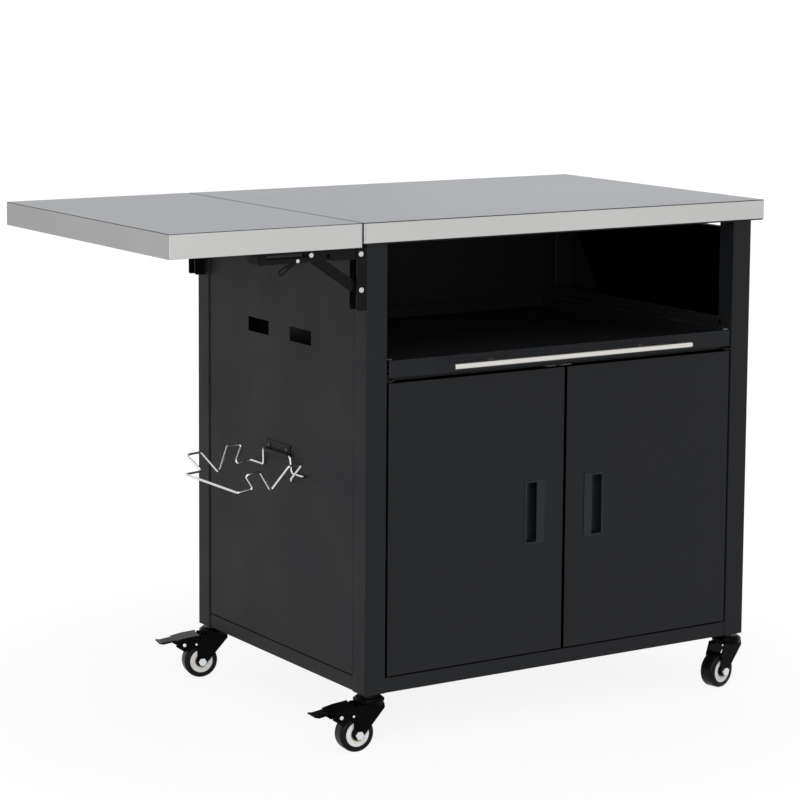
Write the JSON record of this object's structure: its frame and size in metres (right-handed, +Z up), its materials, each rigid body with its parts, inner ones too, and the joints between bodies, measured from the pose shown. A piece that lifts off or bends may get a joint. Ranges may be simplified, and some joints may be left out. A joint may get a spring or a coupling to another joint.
{
  "type": "grill cart",
  "caption": "Black steel cabinet cart on swivel casters with a stainless worktop, fold-down side shelf, pull-out tray, hinged doors and a fold-up wire bag rack.",
  "frame": {"origin": "centre of the cart's footprint box on the floor, with the side shelf up, the tray in and the casters as stored", "axes": "+X along the front towards the right, away from the side shelf; -Y out of the doors towards the user; +Z up from the floor"},
  "size_m": [1.197, 0.6274, 0.886],
  "materials": {
    "stainless": "fine satin brushed",
    "handle_steel": "satin",
    "black_paint": "matte powder coat",
    "dark_frame": "matte powder coat",
    "black_steel": "semi-gloss e-coat",
    "black_screw": "black oxide",
    "zinc": "bright zinc plate",
    "chrome": "polished chrome plate",
    "black_plastic": "fine grain",
    "pale_plastic": "natural nylon",
    "wheel_core": "semi-gloss",
    "rubber": "matte",
    "tyre": "matte rubber"
  },
  "bodies": {
    "cabinet": {"corner_posts": "black_paint", "bottom_long_rails": "black_paint", "bottom_side_rails": "black_paint", "left_panel": "black_paint", "right_panel": "black_paint", "back_panel": "black_paint", "bottom_panel": "black_paint", "door_header": "black_paint", "top_frame_long_rails": "dark_frame", "top_frame_cross_rails": "dark_frame", "main_worktop": "stainless", "bracket_wall_plates": "black_steel", "bracket_pivot_pins": "zinc", "tray_outer_rails": "dark_frame", "door_hinge_pins": "zinc", "door_hinge_washers": "pale_plastic", "door_catches": "pale_plastic", "rack_hinge_plate": "black_steel", "cabinet_screws": "black_screw", "post_plugs": "black_plastic", "caster_stems": "zinc", "caster_heads": "black_steel"},
    "tray": {"tray_pan": "black_paint", "tray_runners": "zinc", "tray_handle_bar": "handle_steel", "tray_handle_standoffs": "handle_steel"},
    "left_door": {"left_door_skin": "black_paint", "left_door_liner": "black_paint", "left_door_pull": "black_plastic"},
    "right_door": {"right_door_skin": "black_paint", "right_door_liner": "black_paint", "right_door_pull": "black_plastic"},
    "side_shelf": {"side_shelf_top": "stainless", "side_shelf_frame": "dark_frame", "bracket_arms": "black_steel", "lever_rivets": "zinc", "shelf_bumpers": "rubber"},
    "braces": {"bracket_braces": "black_steel"},
    "slot_pins": {"slot_pins": "zinc"},
    "front_lever": {"front_release_lever": "black_steel"},
    "rear_lever": {"rear_release_lever": "black_steel"},
    "bag_rack": {"bag_rack_wire": "chrome"},
    "front_left_caster": {"fork_fl": "black_steel", "axle_fl": "zinc"},
    "front_left_wheel": {"core_fl": "wheel_core", "tyre_fl": "tyre"},
    "front_left_brake_pedal": {"pedal_fl": "black_steel"},
    "rear_left_caster": {"fork_rl": "black_steel", "axle_rl": "zinc"},
    "rear_left_wheel": {"core_rl": "wheel_core", "tyre_rl": "tyre"},
    "rear_left_brake_pedal": {"pedal_rl": "black_steel"},
    "front_right_caster": {"fork_fr": "black_steel", "axle_fr": "zinc"},
    "front_right_wheel": {"core_fr": "wheel_core", "tyre_fr": "tyre"},
    "rear_right_caster": {"fork_rr": "black_steel", "axle_rr": "zinc"},
    "rear_right_wheel": {"core_rr": "wheel_core", "tyre_rr": "tyre"}
  },
  "joints": [
    {"name": "tray_slide", "type": "slide", "parent": "cabinet", "child": "tray", "axis": [0, -1, 0], "range_m": [0, 0.3]},
    {"name": "left_door_hinge", "type": "hinge", "parent": "cabinet", "child": "left_door", "pos_m": [-0.186, -0.27575, 0.37], "axis": [0, 0, -1], "range_deg": [0, 100]},
    {"name": "right_door_hinge", "type": "hinge", "parent": "cabinet", "child": "right_door", "pos_m": [0.528, -0.27575, 0.37], "axis": [0, 0, 1], "range_deg": [0, 100]},
    {"name": "shelf_fold", "type": "hinge", "parent": "cabinet", "child": "side_shelf", "pos_m": [-0.245, 0.00625, 0.835], "axis": [0, -1, 0], "range_deg": [0, 90]},
    {"name": "brace_swing", "type": "hinge", "parent": "cabinet", "child": "braces", "pos_m": [-0.244, 0.00625, 0.776], "axis": [0, -1, 0], "range_deg": [0, 121.6]},
    {"name": "slot_pin_slide", "type": "slide", "parent": "side_shelf", "child": "slot_pins", "axis": [-1, 0, 0], "range_m": [0, 0.079]},
    {"name": "front_lever_lift", "type": "hinge", "parent": "side_shelf", "child": "front_lever", "pos_m": [-0.3626, -0.26875, 0.83], "axis": [0, 1, 0], "range_deg": [0, 29]},
    {"name": "rear_lever_lift", "type": "hinge", "parent": "side_shelf", "child": "rear_lever", "pos_m": [-0.3626, 0.28125, 0.83], "axis": [0, 1, 0], "range_deg": [0, 29]},
    {"name": "rack_fold", "type": "hinge", "parent": "cabinet", "child": "bag_rack", "pos_m": [-0.2356, 0.00625, 0.46], "axis": [0, -1, 0], "range_deg": [-90, 0]},
    {"name": "front_left_swivel", "type": "hinge", "parent": "cabinet", "child": "front_left_caster", "pos_m": [-0.213, -0.26125, 0.08], "axis": [0, 0, 1], "continuous": true},
    {"name": "front_left_wheel_spin", "type": "hinge", "parent": "front_left_caster", "child": "front_left_wheel", "pos_m": [-0.2399, -0.2589, 0.031], "axis": [0.0872, 0.9962, 0], "continuous": true},
    {"name": "front_left_brake", "type": "hinge", "parent": "front_left_caster", "child": "front_left_brake_pedal", "pos_m": [-0.25135, -0.25789, 0.065], "axis": [-0.0872, -0.9962, 0], "range_deg": [0, 12]},
    {"name": "rear_left_swivel", "type": "hinge", "parent": "cabinet", "child": "rear_left_caster", "pos_m": [-0.213, 0.27375, 0.08], "axis": [0, 0, 1], "continuous": true},
    {"name": "rear_left_wheel_spin", "type": "hinge", "parent": "rear_left_caster", "child": "rear_left_wheel", "pos_m": [-0.23931, 0.27982, 0.031], "axis": [0.225, 0.9744, 0], "continuous": true},
    {"name": "rear_left_brake", "type": "hinge", "parent": "rear_left_caster", "child": "rear_left_brake_pedal", "pos_m": [-0.25051, 0.28241, 0.065], "axis": [-0.225, -0.9744, 0], "range_deg": [0, 12]},
    {"name": "front_right_swivel", "type": "hinge", "parent": "cabinet", "child": "front_right_caster", "pos_m": [0.555, -0.26125, 0.08], "axis": [0, 0, 1], "continuous": true},
    {"name": "front_right_wheel_spin", "type": "hinge", "parent": "front_right_caster", "child": "front_right_wheel", "pos_m": [0.52859, -0.26686, 0.031], "axis": [-0.2079, 0.9781, 0], "continuous": true},
    {"name": "rear_right_swivel", "type": "hinge", "parent": "cabinet", "child": "rear_right_caster", "pos_m": [0.555, 0.27375, 0.08], "axis": [0, 0, 1], "continuous": true},
    {"name": "rear_right_wheel_spin", "type": "hinge", "parent": "rear_right_caster", "child": "rear_right_wheel", "pos_m": [0.52841, 0.27844, 0.031], "axis": [0.1736, 0.9848, 0], "continuous": true}
  ],
  "couplings": [
    {"joint": "brace_swing", "follows": "shelf_fold", "ratio": 1.3495},
    {"joint": "slot_pin_slide", "follows": "shelf_fold", "m_per_rad": 0.050028},
    {"joint": "front_lever_lift", "follows": "shelf_fold", "ratio": 0.322},
    {"joint": "rear_lever_lift", "follows": "shelf_fold", "ratio": 0.322}
  ]
}
